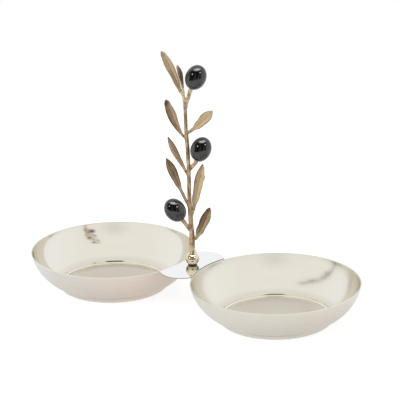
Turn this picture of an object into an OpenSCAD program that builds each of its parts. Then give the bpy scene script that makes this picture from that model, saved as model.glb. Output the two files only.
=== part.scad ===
// Double olive dish: two spun bowls joined by a mirror plate, with a brass olive branch on a ball.
// Millimetres. The origin is on the table, midway between the bowls. +X runs from the left bowl to the
// right bowl and +Z is up.

/* [Bowls] */
// Outer diameter at the rim
rim_d = 140; // [120:0.2:170]
// Gap between the two rims
rim_gap = 20.8; // [14:0.2:36]
// Height from the table to the rim
bowl_h = 31.4; // [24:0.2:42]
// Outer diameter of the foot
foot_d = 92.4; // [84:0.2:106]
// Height of the foot's straight step
foot_h = 3; // [1.6:0.1:5]
// Width of the ring that the foot rests on
foot_w = 2.4; // [1.4:0.1:8]
// Thickness of the wall
wall_t = 1.1; // [0.8:0.05:2]
// Radius of the wall's curve, seen in section
wall_arc_r = 39.2; // [34:0.2:60]
// Thickness of the bottom
floor_t = 1.1; // [0.8:0.05:2]
// Height of the inside bottom above the foot's step
floor_rise = 0.3; // [0.1:0.05:1.5]

/* [Connecting plate] */
// Length across the gap, from end to end
plate_l = 68; // [56:0.2:90]
// Thickness of the plate
plate_t = 0.8; // [0.6:0.1:2]
// How far the waist lies on each rim
plate_lap = 0.5; // [0.4:0.1:1]
// How far the radius of each round end is over half the waist
plate_flare = 7.5; // [5:0.1:9]
// Radius of the four corners
plate_corner_r = 2.6; // [1.5:0.1:6]
// Radius of the concave sides, which follow the rims
plate_side_r = 74; // [70:1:120]

/* [Base ball] */
// Diameter of the ball
ball_d = 11.3; // [9.5:0.1:16]
// Diameter of the collar under the ball
ball_foot_d = 7.6; // [6:0.1:9]
// Height of the collar
ball_foot_h = 0.8; // [0.5:0.1:2]
// How far the ball is sunk into its collar
ball_sink = 0.55; // [0.3:0.05:0.8]
// How far the ball's flat top lies under its crown
ball_flat = 0.35; // [0.1:0.05:0.5]

/* [Fixing screw] */
// Diameter of the screw
screw_d = 4; // [3:0.5:5]
// Length of the screw under its head
screw_l = 8; // [6:0.5:8.5]
// Diameter of the screw head
screw_head_d = 8; // [6.5:0.1:10]
// Height of the screw head
screw_head_h = 2.6; // [2:0.1:4]
// Width of the driver slot
slot_w = 1.2; // [0.8:0.1:2]
// Depth of the driver slot
slot_depth = 1.2; // [0.6:0.1:1.6]
// Outer diameter of the flat washer
washer_d = 9; // [8:0.1:14]
// Thickness of the flat washer
washer_t = 0.8; // [0.5:0.1:1.5]
// Outer diameter of the lock washer
lock_d = 7.6; // [6.6:0.1:9]
// Thickness of the lock washer
lock_t = 0.9; // [0.6:0.1:1.4]
// Width of the lock washer's split
lock_split = 0.8; // [0.4:0.1:1.5]

/* [Branch] */
// Height of the stem, from the ball to its fork at the top
stem_h = 138.6; // [110:0.2:180]
// Diameter of the stem at its foot
stem_d = 5; // [4.4:0.1:7]
// Diameter of the peg under the stem
stem_peg_d = 3; // [2:0.1:3.8]
// Length of the peg under the stem
stem_peg_l = 3.4; // [2:0.1:4]
// Turn of the whole branch about the upright, in degrees
branch_turn = 33; // [-180:1:180]
// Length of the longest side stub, from the stem's middle
stub_l = 7.6; // [7.2:0.1:10]
// Diameter of a leaf stub where it leaves the stem
stub_d = 2.2; // [1.9:0.1:3]
// Diameter of the small pegs that hold leaves and stalks
peg_d = 1; // [0.6:0.1:1.4]
// Length of the small pegs
peg_l = 2; // [1:0.1:2.6]

/* [Leaves] */
// Length of the longest leaf
leaf_l = 43; // [32:0.5:50]
// Width of the widest leaf
leaf_w = 8.6; // [6:0.1:11]
// Thickness of a leaf along its midrib
leaf_t = 1.2; // [0.8:0.1:2]
// Thickness of a leaf at its edge
leaf_edge_t = 0.6; // [0.4:0.05:1]
// Diameter of a petiole
petiole_d = 1.9; // [1.5:0.1:2.6]

/* [Olives] */
// Diameter of an olive
olive_d = 17; // [14:0.2:18]
// Length of an olive
olive_l = 21.4; // [17:0.2:24]
// Diameter of an olive's stalk
stalk_d = 2.6; // [2:0.1:3.2]
// Length of the longest stalk
stalk_l = 9; // [8:0.1:14]
// Diameter of the small cap that an olive sits on
cap_d = 3.4; // [2.8:0.1:5]
// Height of the small cap
cap_h = 1.6; // [1:0.1:2.5]
// Diameter of the pin inside an olive
pin_d = 2; // [1.2:0.1:2.6]
// Length of the pin inside an olive
pin_l = 6; // [3:0.1:9]

/* [Fits] */
// Clearance around each peg, pin and screw, and at each pegged joint
fit = 0.05; // [0.02:0.01:0.1]

/* [Hidden] */

steel = "#d6d0c6";
mirror_steel = "#eff0f4";
zinc = "#b4b8bc";
brass = "#c9a86a";
bronze = "#a68d6e";
leaf_bronze = "#b59f7e";
olive_black = "#2a2a2c";

// How far a cut runs past the face that it opens
overrun = 0.5;
round_fn = 96;
small_fn = 32;

// Bowls
rim_r = rim_d / 2;
foot_r = foot_d / 2;
bowl_x = (rim_d + rim_gap) / 2;
floor_z = foot_h + floor_rise;
recess_h = floor_z - floor_t;
// Centre of the wall's curve, which passes through the top of the foot's step and the rim's outer edge
wall_run = rim_r - foot_r;
wall_rise = bowl_h - foot_h;
wall_chord = norm([wall_run, wall_rise]);
wall_off = sqrt(wall_arc_r * wall_arc_r - wall_chord * wall_chord / 4);
wall_mid_r = (foot_r + rim_r) / 2 - wall_off * wall_rise / wall_chord;
wall_mid_z = (foot_h + bowl_h) / 2 + wall_off * wall_run / wall_chord;

// Connecting plate
plate_waist = rim_gap + 2 * plate_lap;
plate_end_r = plate_waist / 2 + plate_flare;
plate_end_y = plate_l / 2 - plate_end_r;
plate_side_x = plate_waist / 2 + plate_side_r;
plate_top = bowl_h + plate_t;
// Centre of a corner's round, which touches the end from inside and the concave side
corner_mid = circles_meet([0, plate_end_y], plate_end_r - plate_corner_r,
    [plate_side_x, 0], plate_side_r + plate_corner_r);
corner_from = corner_mid + plate_corner_r * unit(corner_mid - [0, plate_end_y]);
corner_to = corner_mid + plate_corner_r * unit([plate_side_x, 0] - corner_mid);

// Base ball and fixing screw
ball_mid = plate_top + ball_d / 2 - ball_sink;
// The ball is flat on top where the stem stands
stem_seat = ball_mid + ball_d / 2 - ball_flat;
screw_seat = bowl_h - washer_t - lock_t;
screw_hole_d = screw_d + 2 * fit;
slot_chamfer = screw_head_h / 4;

// Stem: places along it and sideways sways are shares of its height, girths are shares of its diameter
stem_steps = 28;
stem_sides = 12;
stem_sway_shares = [
    [0, 0], [0.10, 0], [0.23, -0.006], [0.33, -0.010], [0.51, -0.010],
    [0.68, -0.015], [0.73, -0.019], [0.80, -0.022], [0.92, -0.023], [1, -0.035]
];
stem_depth_shares = [
    [0, 0], [0.10, 0.004], [0.23, 0.008], [0.33, 0.006], [0.51, -0.002],
    [0.68, -0.006], [0.80, -0.002], [0.92, 0.004], [1, 0.006]
];
stem_girth_shares = [
    [0, 1], [0.05, 0.98], [0.10, 0.92], [0.17, 0.82], [0.23, 0.80], [0.33, 0.70], [0.51, 0.68],
    [0.68, 0.66], [0.73, 0.72], [0.80, 0.55], [0.86, 0.56], [0.92, 0.60], [1, 0.46]
];
tip_knot_share = 1.15;

// Leaves, from the top down. Each row has the turn about the stem, the lean of the stub, the leans of the
// leaf's lower half and of its whole length, and the roll of its blade, in degrees
leaf_angles = [
    [199, 38, 20, 24, 12], [145, 2, 8, 17, 80], [198, 44, 33, 23.5, 15], [348, 58, 51, 46, 170],
    [160, 33, 27, 27.5, -15], [201, 26, 24, 23, 10], [24, 25, 11, 13.5, 165], [340, 80, 29, 24.5, 190]
];
// Each row has the place on the stem, and the shares of stub length, leaf length, leaf width and petiole
leaf_shares = [
    [0.985, 0.53, 0.88, 0.86, 0.04], [1.000, 0.47, 0.44, 0.60, 0.05],
    [0.714, 0.61, 0.81, 0.95, 0.05], [0.748, 0.58, 0.59, 1.00, 0.12],
    [0.481, 0.68, 0.74, 0.81, 0.06], [0.282, 0.87, 1.00, 0.93, 0.28],
    [0.222, 0.87, 0.92, 0.94, 0.08], [0.088, 0.45, 0.72, 0.93, 0.08]
];
// Half width of a blade along its length, as shares of the widest half width
leaf_outline_shares = [
    [0, 0], [0.12, 0.24], [0.25, 0.52], [0.40, 0.82], [0.52, 0.97], [0.60, 1], [0.72, 0.94],
    [0.83, 0.74], [0.91, 0.48], [0.97, 0.24], [1, 0.07]
];
leaf_steps = 16;
// Where along its length a leaf bends, and how far the blade's edges fold up
leaf_bend_share = 0.5;
leaf_fold_share = 0.28;
// How far a leaf is still petiole, along its blade
petiole_blend_shares = [
    [0, 1], [0.1, 0.59], [0.2, 0.33], [0.3, 0.17], [0.4, 0.08], [0.5, 0.03], [0.6, 0.01], [1, 0]
];
petiole_edge_share = 0.5;

// Olives, from the top down. Each row has the turn about the stem, the lean of the stalk and of the olive
olive_angles = [[340, 18, 24], [343, 39, 22], [200, 33.5, 33.5]];
// Each row has the place on the stem, and the shares of stub length and stalk length
olive_shares = [[0.905, 1.00, 0.90], [0.518, 0.55, 0.65], [0.130, 0.79, 0.79]];
olive_steps = 24;
stalk_taper_share = 0.85;
knuckle_share = 1.1;
// Distance from an olive's middle to the flat that its cap meets
olive_seat = olive_l / 2 * sqrt(1 - cap_d * cap_d / (olive_d * olive_d));

// Unit vector at a turn about the upright and a lean from it
function aim(turn, lean) = [sin(lean) * cos(turn), sin(lean) * sin(turn), cos(lean)];

// Middle and radius of the stem at a share of its height
function stem_mid(s) = stem_h * [lookup(s, stem_sway_shares), lookup(s, stem_depth_shares), s];
function stem_r(s) = stem_d / 2 * lookup(s, stem_girth_shares);

function mix(a, b, t) = a * (1 - t) + b * t;
function unit(v) = v / norm(v);

// Upper point where a circle about a and a circle about b cross
function circles_meet(a, a_r, b, b_r) =
    let (
        gap = norm(b - a),
        along = unit(b - a),
        reach = (a_r * a_r - b_r * b_r + gap * gap) / (2 * gap),
        rise = sqrt(a_r * a_r - reach * reach)
    )
    a + along * reach + [-along[1], along[0]] * rise;

// Point and direction on a curve that leaves "from", bends near "bend" and ends at "to"
function curve_at(from, bend, to, t) = mix(mix(from, bend, t), mix(bend, to, t), t);
function curve_aim(from, bend, to, t) = unit(mix(bend - from, to - bend, t));

// Solid skin over a list of rings that all have the same number of points
module loft(rings) {
    n = len(rings[0]);
    last = len(rings) - 1;
    sides = [
        for (i = [0 : last - 1], j = [0 : n - 1])
            let (k = (j + 1) % n, low = i * n, high = low + n)
            each [[low + j, high + j, high + k], [low + j, high + k, low + k]]
    ];
    caps = [[for (j = [0 : n - 1]) j], [for (j = [0 : n - 1]) last * n + n - 1 - j]];
    polyhedron(points = [for (ring = rings) each ring], faces = concat(sides, caps), convexity = 6);
}

// Places its child with its Z axis along a turn and a lean
module aimed(at, turn, lean) {
    translate(at) rotate([0, lean, turn]) children();
}

// Stands its child on the ball, turned as the branch is
module on_ball() {
    translate([0, 0, stem_seat]) rotate([0, 0, branch_turn]) children();
}

// Bowl section inside one wall radius, from one height up to another
module belly(r, bottom, top) {
    intersection() {
        union() {
            translate([wall_mid_r, wall_mid_z]) circle(r = r, $fn = round_fn);
            square([wall_mid_r, wall_mid_z]);
        }
        translate([0, bottom]) square([rim_d, top - bottom]);
    }
}

module bowl(side) {
    color(steel) translate([side * bowl_x, 0, 0])
        rotate_extrude($fn = round_fn) difference() {
            union() {
                square([foot_r, foot_h]);
                belly(wall_arc_r, foot_h, bowl_h);
            }
            belly(wall_arc_r - wall_t, floor_z, bowl_h + overrun);
            translate([0, -overrun]) square([foot_r - foot_w, recess_h + overrun]);
        }
}

// What is cut off a sharp corner of the plate to round it
module plate_corner() {
    difference() {
        polygon([corner_mid, corner_from, corner_from + corner_to - corner_mid, corner_to]);
        translate(corner_mid) circle(r = plate_corner_r, $fn = round_fn);
    }
}

module connecting_plate() {
    color(mirror_steel) translate([0, 0, bowl_h]) difference() {
        linear_extrude(plate_t) difference() {
            union() {
                for (side = [-1, 1]) translate([0, side * plate_end_y]) circle(r = plate_end_r, $fn = round_fn);
                square([2 * plate_end_r, 2 * plate_end_y], center = true);
            }
            for (side = [-1, 1]) translate([side * plate_side_x, 0]) circle(r = plate_side_r, $fn = 4 * round_fn);
            for (flip_x = [0, 1], flip_y = [0, 1]) mirror([flip_x, 0]) mirror([0, flip_y]) plate_corner();
        }
        translate([0, 0, -overrun]) cylinder(d = screw_hole_d, h = plate_t + 2 * overrun, $fn = small_fn);
    }
}

module base_ball() {
    screw_reach = screw_seat + screw_l - plate_top;
    color(brass) difference() {
        union() {
            translate([0, 0, plate_top]) cylinder(d = ball_foot_d, h = ball_foot_h, $fn = round_fn);
            translate([0, 0, ball_mid]) sphere(d = ball_d, $fn = round_fn);
        }
        translate([0, 0, plate_top - overrun])
            cylinder(d = screw_hole_d, h = screw_reach + fit + overrun, $fn = small_fn);
        translate([0, 0, plate_top - ball_d]) cylinder(d = ball_d, h = ball_d, $fn = small_fn);
        translate([0, 0, stem_seat]) cylinder(d = ball_d, h = ball_d / 2, $fn = small_fn);
        translate([0, 0, stem_seat - stem_peg_l - fit])
            cylinder(d = stem_peg_d + 2 * fit, h = stem_peg_l + fit + overrun, $fn = small_fn);
    }
}

module fixing_screw() {
    color(zinc) translate([0, 0, screw_seat]) {
        difference() {
            translate([0, 0, -screw_head_h]) union() {
                cylinder(d1 = screw_head_d - 2 * slot_chamfer, d2 = screw_head_d, h = slot_chamfer, $fn = small_fn);
                translate([0, 0, slot_chamfer])
                    cylinder(d = screw_head_d, h = screw_head_h - slot_chamfer, $fn = small_fn);
            }
            translate([-screw_head_d / 2 - overrun, -slot_w / 2, -screw_head_h - overrun])
                cube([screw_head_d + 2 * overrun, slot_w, slot_depth + overrun]);
        }
        cylinder(d = screw_d, h = screw_l, $fn = small_fn);
    }
}

module flat_washer() {
    color(zinc) translate([0, 0, bowl_h - washer_t]) difference() {
        cylinder(d = washer_d, h = washer_t, $fn = small_fn);
        translate([0, 0, -overrun]) cylinder(d = screw_hole_d, h = washer_t + 2 * overrun, $fn = small_fn);
    }
}

module lock_washer() {
    color(zinc) translate([0, 0, screw_seat]) difference() {
        cylinder(d = lock_d, h = lock_t, $fn = small_fn);
        translate([0, 0, -overrun]) cylinder(d = screw_hole_d, h = lock_t + 2 * overrun, $fn = small_fn);
        translate([0, -lock_split / 2, -overrun]) cube([lock_d, lock_split, lock_t + 2 * overrun]);
    }
}

// Side stub of the stem, a cone that ends flat
module stub(place, turn, lean, length, d1, d2) {
    aimed(stem_mid(place), turn, lean) cylinder(d1 = d1, d2 = d2, h = length, $fn = small_fn);
}

// Socket for a small peg, open at the end of a stub
module stub_socket(place, turn, lean, length) {
    aimed(stem_mid(place) + aim(turn, lean) * (length - peg_l - fit), turn, lean)
        cylinder(d = peg_d + 2 * fit, h = peg_l + fit + overrun, $fn = small_fn);
}

// Small peg that reaches back into a stub's socket from a joint
module peg(at, turn, lean) {
    aimed(at - aim(turn, lean) * (peg_l + fit), turn, lean)
        cylinder(d = peg_d, h = peg_l + fit + overrun, $fn = small_fn);
}

module branch_stem() {
    rings = [
        for (i = [0 : stem_steps])
            let (s = i / stem_steps)
            [for (j = [0 : stem_sides - 1])
                stem_mid(s) + stem_r(s) * aim(j * 360 / stem_sides, 90)]
    ];
    color(bronze) on_ball() difference() {
        union() {
            loft(rings);
            translate(stem_mid(1)) sphere(r = stem_r(1) * tip_knot_share, $fn = small_fn);
            translate([0, 0, -stem_peg_l]) cylinder(d = stem_peg_d, h = stem_peg_l + overrun, $fn = small_fn);
            for (i = [0 : len(leaf_shares) - 1])
                stub(leaf_shares[i][0], leaf_angles[i][0], leaf_angles[i][1], stub_l * leaf_shares[i][1],
                    stub_d, petiole_d);
            for (i = [0 : len(olive_shares) - 1])
                stub(olive_shares[i][0], olive_angles[i][0], olive_angles[i][1], stub_l * olive_shares[i][1],
                    stalk_d, stalk_d);
        }
        for (i = [0 : len(leaf_shares) - 1])
            stub_socket(leaf_shares[i][0], leaf_angles[i][0], leaf_angles[i][1], stub_l * leaf_shares[i][1]);
        for (i = [0 : len(olive_shares) - 1])
            stub_socket(olive_shares[i][0], olive_angles[i][0], olive_angles[i][1], stub_l * olive_shares[i][1]);
    }
}

// Section of a leaf: two folded halves that meet at the midrib, thinner at the edges
function leaf_section(half_w, mid_t, edge_t, fold) =
    let (rise = fold * half_w, body_t = (mid_t + edge_t) / 4)
    [
        [half_w, rise - edge_t / 2], [half_w, rise + edge_t / 2], [half_w / 2, rise / 2 + body_t],
        [0, mid_t / 2], [-half_w / 2, rise / 2 + body_t], [-half_w, rise + edge_t / 2],
        [-half_w, rise - edge_t / 2], [-half_w / 2, rise / 2 - body_t], [0, -mid_t / 2],
        [half_w / 2, rise / 2 - body_t]
    ];

module leaf(i) {
    turn = leaf_angles[i][0];
    stub_lean = leaf_angles[i][1];
    roll = leaf_angles[i][4];
    length = leaf_l * leaf_shares[i][2];
    width = leaf_w * leaf_shares[i][3];
    petiole_share = leaf_shares[i][4];
    from = stem_mid(leaf_shares[i][0]) + aim(turn, stub_lean) * (stub_l * leaf_shares[i][1] + fit);
    bend = from + aim(turn, leaf_angles[i][2]) * length * leaf_bend_share;
    to = from + aim(turn, leaf_angles[i][3]) * length;
    rings = [
        for (k = [0 : leaf_steps])
            let (
                t = k / leaf_steps,
                u = max(0, (t - petiole_share) / (1 - petiole_share)),
                stalky = lookup(u, petiole_blend_shares),
                along = k == 0 ? aim(turn, stub_lean) : curve_aim(from, bend, to, t),
                sideways = aim(turn + 90, 90),
                across = cos(roll) * cross(sideways, along) + sin(roll) * sideways,
                face = cross(along, across),
                half_w = width / 2 * lookup(u, leaf_outline_shares) + petiole_d / 2 * stalky,
                section = leaf_section(half_w, mix(leaf_t, petiole_d, stalky),
                    mix(leaf_edge_t, petiole_d * petiole_edge_share, stalky), leaf_fold_share * (1 - stalky))
            )
            [for (p = section) curve_at(from, bend, to, t) + across * p[0] + face * p[1]]
    ];
    color(leaf_bronze) on_ball() {
        loft(rings);
        peg(from, turn, stub_lean);
    }
}

// Where an olive's stalk leaves its stub, where its cap starts and where its olive sits
function stalk_foot(i) = stem_mid(olive_shares[i][0])
    + aim(olive_angles[i][0], olive_angles[i][1]) * (stub_l * olive_shares[i][1] + fit);
function stalk_top(i) = stalk_foot(i) + aim(olive_angles[i][0], olive_angles[i][1]) * stalk_l * olive_shares[i][2];
function olive_mid(i) = stalk_top(i) + aim(olive_angles[i][0], olive_angles[i][2]) * (cap_h + fit + olive_seat);

module olive_stalk(i) {
    turn = olive_angles[i][0];
    top_d = stalk_d * stalk_taper_share;
    color(bronze) on_ball() {
        peg(stalk_foot(i), turn, olive_angles[i][1]);
        aimed(stalk_foot(i), turn, olive_angles[i][1])
            cylinder(d1 = stalk_d, d2 = top_d, h = stalk_l * olive_shares[i][2], $fn = small_fn);
        translate(stalk_top(i)) sphere(d = top_d * knuckle_share, $fn = small_fn);
        aimed(stalk_top(i), turn, olive_angles[i][2]) {
            cylinder(d1 = top_d, d2 = cap_d, h = cap_h, $fn = small_fn);
            cylinder(d = pin_d, h = cap_h + pin_l, $fn = small_fn);
        }
    }
}

module olive(i) {
    half = [
        for (k = [0 : olive_steps])
            let (a = -90 + 180 * k / olive_steps)
            [olive_d / 2 * cos(a), olive_l / 2 * sin(a)]
    ];
    color(olive_black) on_ball() aimed(olive_mid(i), olive_angles[i][0], olive_angles[i][2]) difference() {
        rotate_extrude($fn = round_fn) polygon(half);
        translate([0, 0, -olive_seat - olive_l]) cylinder(d = olive_d, h = olive_l, $fn = small_fn);
        translate([0, 0, -olive_seat - overrun])
            cylinder(d = pin_d + 2 * fit, h = pin_l + fit + overrun, $fn = small_fn);
    }
}

bowl(-1);  // left_bowl
bowl(1);  // right_bowl
connecting_plate();
base_ball();
fixing_screw();
flat_washer();
lock_washer();
branch_stem();
for (i = [0 : len(leaf_shares) - 1])
    leaf(i);
for (i = [0 : len(olive_shares) - 1])
    olive_stalk(i);
for (i = [0 : len(olive_shares) - 1])
    olive(i);
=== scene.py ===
"""Looks of the double olive dish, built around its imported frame. Lengths are in metres."""

import math

import bmesh
import bpy
import numpy as np
from mathutils import Matrix, Vector, noise


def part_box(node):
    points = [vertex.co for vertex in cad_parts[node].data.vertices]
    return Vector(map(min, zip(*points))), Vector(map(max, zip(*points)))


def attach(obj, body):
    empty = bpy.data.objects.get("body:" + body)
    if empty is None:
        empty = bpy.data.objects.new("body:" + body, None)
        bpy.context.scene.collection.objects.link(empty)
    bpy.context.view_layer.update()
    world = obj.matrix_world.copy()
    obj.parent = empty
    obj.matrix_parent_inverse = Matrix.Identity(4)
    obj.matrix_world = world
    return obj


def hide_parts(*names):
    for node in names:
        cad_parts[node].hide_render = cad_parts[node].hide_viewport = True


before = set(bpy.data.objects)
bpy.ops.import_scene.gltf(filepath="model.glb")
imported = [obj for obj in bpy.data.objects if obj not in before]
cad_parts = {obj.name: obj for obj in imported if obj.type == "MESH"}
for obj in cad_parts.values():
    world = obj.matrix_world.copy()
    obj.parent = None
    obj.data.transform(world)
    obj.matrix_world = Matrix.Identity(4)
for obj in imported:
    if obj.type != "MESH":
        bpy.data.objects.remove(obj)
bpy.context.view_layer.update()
scene = bpy.context.scene
scene.view_settings.view_transform = "Standard"

MM = 0.001
BODY = "root"

# Camera, at the photograph's view
VIEW_TURN = math.radians(32.9)
VIEW_RISE = math.radians(18.83)
VIEW_ROLL = math.radians(1.19)
VIEW_FROM = (0.8901, -1.3624, 0.6436)
VIEW_LENS = 187.8
SENSOR_W = 36
VIEW_RIGHT = Vector((math.cos(VIEW_TURN), math.sin(VIEW_TURN), 0))
VIEW_BACK = Vector((-math.sin(VIEW_TURN), math.cos(VIEW_TURN), 0))

# Bowls
FOOT_R = 46.2 * MM
FOOT_H = 3 * MM
FOOT_W = 2.4 * MM
FOOT_EDGE = 0.3 * MM
FOOT_ROUND = 1 * MM
FOOT_BEND = 1.2 * MM
LIP_EDGE = 0.3 * MM
WALL_T = 1.1 * MM
WALL_ARC_R = 39.2 * MM
FLOOR_T = 1.1 * MM
FLOOR_Z = 1.95 * MM
# Small step from the wall down to the inside bottom; its face overhangs the slope at its foot
STEP_H = 2.1 * MM
STEP_EDGE = 0.3 * MM
STEP_DIP = 0.1 * STEP_EDGE
STEP_OVERHANG = 0.15 * MM
STEP_FOOT_H = 0.4 * MM
STEP_FOOT_W = 1.0 * MM
# Extra rings this far from a crease keep it crisp
CREASE = 0.05 * MM
CREASE_RISE = 0.03 * MM
# Rings of the inside bottom, as shares of its radius
BOTTOM_RINGS = (0.998, 0.96, 0.8, 0.6, 0.4, 0.2, 0)
WALL_STEPS = 40
BOWL_SEGMENTS = 192
# Painted light and shade of the metal, standing in for how light falls in a bowl: painted shade at the
# wall's foot and its reach, painted light on the step's face and a painted highlight on its slope, painted
# shade on the bottom, painted light towards its edge from a share of the foot's radius, painted light on
# the outer foot
WALL_PAINTED_SHADE = 0.13
WALL_PAINTED_SHADE_REACH = 3 * MM
STEP_PAINTED_LIGHT = 1.12
STEP_FOOT_PAINTED_LIGHT = 1.22
BOTTOM_PAINTED_SHADE = 0.94
BOTTOM_PAINTED_LIGHT = 0.16
BOTTOM_PAINTED_LIGHT_FROM = 0.8
FOOT_PAINTED_LIGHT = 1.07
FOOT_PAINTED_LIGHT_TOP = FOOT_H + 1 * MM

# Connecting plate
PLATE_L = 68 * MM
PLATE_WAIST = 21.8 * MM
PLATE_FLARE = 7.5 * MM
PLATE_CORNER_R = 2.6 * MM
PLATE_SIDE_R = 74 * MM
PLATE_EDGE = 0.22 * MM
PLATE_HOLE_R = 2.05 * MM

# Edges that turn by more than this stay sharp in smooth shading
SHARP_TURN = math.radians(40)
PLATE_SHARP_TURN = math.radians(50)
# Points nearer to each other than this are joined, and heights nearer than this count as one
WELD = 0.0001 * MM
LEVEL = 0.01 * MM

# Base ball
BALL_D = 11.3 * MM
BALL_FOOT_D = 7.6 * MM
BALL_FOOT_H = 0.8 * MM
BALL_FLAT = 0.35 * MM
BALL_EDGE = 0.15 * MM

# Segments round the ball and the olives
ROUND_SEGMENTS = 96

# Branch: places along the stem and its sways are shares of its height, girths are shares of its foot
STEM_H = 138.6 * MM
STEM_D = 5 * MM
STEM_PEG_L = 3.4 * MM
BRANCH_TURN = math.radians(33)
STUB_L = 7.6 * MM
STUB_D = 2.2 * MM
FIT = 0.05 * MM
STEM_SWAY = (
    (0, 0), (0.10, 0), (0.23, -0.006), (0.33, -0.010), (0.51, -0.010),
    (0.68, -0.015), (0.73, -0.019), (0.80, -0.022), (0.92, -0.023), (1, -0.035),
)
STEM_DEPTH = (
    (0, 0), (0.10, 0.004), (0.23, 0.008), (0.33, 0.006), (0.51, -0.002),
    (0.68, -0.006), (0.80, -0.002), (0.92, 0.004), (1, 0.006),
)
STEM_GIRTH = (
    (0, 1), (0.05, 0.98), (0.10, 0.92), (0.17, 0.82), (0.23, 0.80), (0.33, 0.70), (0.51, 0.68),
    (0.68, 0.66), (0.73, 0.72), (0.80, 0.55), (0.86, 0.56), (0.92, 0.60), (1, 0.46),
)
# How much lighter or darker the stem is along its height
STEM_LIGHTNESS = (
    (0, 0.25), (0.04, 0.1), (0.1, -0.06), (0.135, 0.08), (0.2, 0.02), (0.25, 0.12), (0.3, 0), (0.48, -0.02),
    (0.55, 0.03), (0.6, 0), (0.64, -0.15), (0.68, -0.13), (0.73, 0.05), (0.79, -0.12), (0.91, -0.18),
    (0.95, 0.22), (1, 0.28),
)

# Leaves, from the top down: turn about the stem, leans of the stub, of the lower half and of the whole
# leaf, and roll of the blade, in degrees
LEAF_ANGLES = (
    (199, 38, 20, 24, 12), (145, 2, 8, 17, 80), (198, 44, 33, 23.5, 15), (348, 58, 51, 46, 170),
    (160, 33, 27, 27.5, -15), (201, 26, 24, 23, 10), (24, 25, 11, 13.5, 165), (340, 80, 29, 24.5, 190),
)
# Place on the stem, then shares of stub length, leaf length, leaf width and petiole
LEAF_SHARES = (
    (0.985, 0.53, 0.88, 0.86, 0.04), (1.000, 0.47, 0.44, 0.60, 0.05),
    (0.714, 0.61, 0.81, 0.95, 0.05), (0.748, 0.58, 0.59, 1.00, 0.12),
    (0.481, 0.68, 0.74, 0.81, 0.06), (0.282, 0.87, 1.00, 0.93, 0.28),
    (0.222, 0.87, 0.92, 0.94, 0.08), (0.088, 0.45, 0.72, 0.93, 0.08),
)
LEAF_OUTLINE = (
    (0, 0), (0.12, 0.24), (0.25, 0.52), (0.40, 0.82), (0.52, 0.97), (0.60, 1), (0.72, 0.94),
    (0.83, 0.74), (0.91, 0.48), (0.97, 0.24), (1, 0.07),
)
PETIOLE_BLEND = (
    (0, 1), (0.1, 0.59), (0.2, 0.33), (0.3, 0.17), (0.4, 0.08), (0.5, 0.03), (0.6, 0.01), (1, 0),
)
LEAF_L = 43 * MM
LEAF_W = 8.6 * MM
LEAF_T = 1.2 * MM
LEAF_EDGE_T = 0.6 * MM
LEAF_FOLD = 0.28
LEAF_BEND = 0.5
PETIOLE_D = 1.9 * MM
PETIOLE_TONE = 0.55
# How much thicker the petiole and stub of a full leaf are
BASE_SWELL = 0.4
# How full each leaf is at its base and at its tip, its painted light: how bright it is, how much brighter
# it is on its right, and how much darker at its tip
LEAF_LOOKS = (
    (0.8, 0.8, 0.73, 0.12, 0.2), (0.3, 0.6, 0.26, -0.24, -0.7), (0.3, 1.0, 0.44, 0.3, 0.5),
    (0.8, 0.05, 0.76, 0.02, 0.15), (0.5, 0.0, 0.40, -0.16, 0.2), (0.6, 0.0, 0.28, -0.10, 0.1),
    (0.9, 0.2, 0.78, 0.32, 0.2), (1.2, 0.6, 0.33, 0.3, 0.2),
)

# Olives, from the top down: turn about the stem, lean of the stalk and of the olive, in degrees
OLIVE_ANGLES = ((340, 18, 24), (343, 39, 22), (200, 33.5, 33.5))
# Place on the stem, then shares of stub length and stalk length
OLIVE_SHARES = ((0.905, 1.00, 0.90), (0.518, 0.55, 0.65), (0.130, 0.79, 0.79))
OLIVE_D = 17 * MM
OLIVE_L = 21.4 * MM
STALK_D = 2.6 * MM
STALK_L = 9 * MM
STALK_TAPER = 0.85
CAP_D = 3.4 * MM
CAP_H = 1.6 * MM


# Small helpers

LOOKUP_REACH = 0.03


def lookup(place, table):
    """Value of a table at a place, smoothed over a short stretch so that outlines have no kinks."""
    places, values = zip(*table)
    spread = np.linspace(-LOOKUP_REACH, LOOKUP_REACH, 7)
    return float(np.mean(np.interp(place + spread, places, values)))


def aim(turn, lean):
    """Unit vector at a turn about the upright and a lean from it, in degrees."""
    t = math.radians(turn)
    n = math.radians(lean)
    return np.array((math.sin(n) * math.cos(t), math.sin(n) * math.sin(t), math.cos(n)))


def unit(v):
    return v / np.linalg.norm(v)


def mix(a, b, t):
    return a * (1 - t) + b * t


def clamp(value):
    return min(1, max(0, value))


def swell(place, gain, middle, reach):
    """Soft hump of some gain round a middle."""
    return gain * math.exp(-((place - middle) / reach) ** 2)


def arc(mid, radius, start, end, steps):
    """Points on a circle between two angles in degrees, both ends included."""
    angles = np.radians(np.linspace(start, end, steps + 1))
    return [(mid[0] + radius * math.cos(a), mid[1] + radius * math.sin(a)) for a in angles]


def bend(a, corner, b, steps):
    """Points of a soft corner from a to b."""
    points = []
    for t in np.linspace(0, 1, steps + 1):
        low = mix(np.array(a), np.array(corner), t)
        high = mix(np.array(corner), np.array(b), t)
        points.append(tuple(mix(low, high, t)))
    return points


def circles_meet(a, a_r, b, b_r):
    """Upper point where a circle about a and a circle about b cross."""
    a = np.array(a)
    b = np.array(b)
    gap = np.linalg.norm(b - a)
    along = (b - a) / gap
    reach = (a_r ** 2 - b_r ** 2 + gap ** 2) / (2 * gap)
    rise = math.sqrt(a_r ** 2 - reach ** 2)
    return a + along * reach + np.array((-along[1], along[0])) * rise


# Meshes

def full_turn(sides):
    """Evenly spread turns round a ring."""
    return np.linspace(0, 2 * math.pi, sides, endpoint=False)


def circle(middle, radius, z, turns):
    """Level ring of points."""
    return [(middle[0] + radius * math.cos(a), middle[1] + radius * math.sin(a), z) for a in turns]


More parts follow.
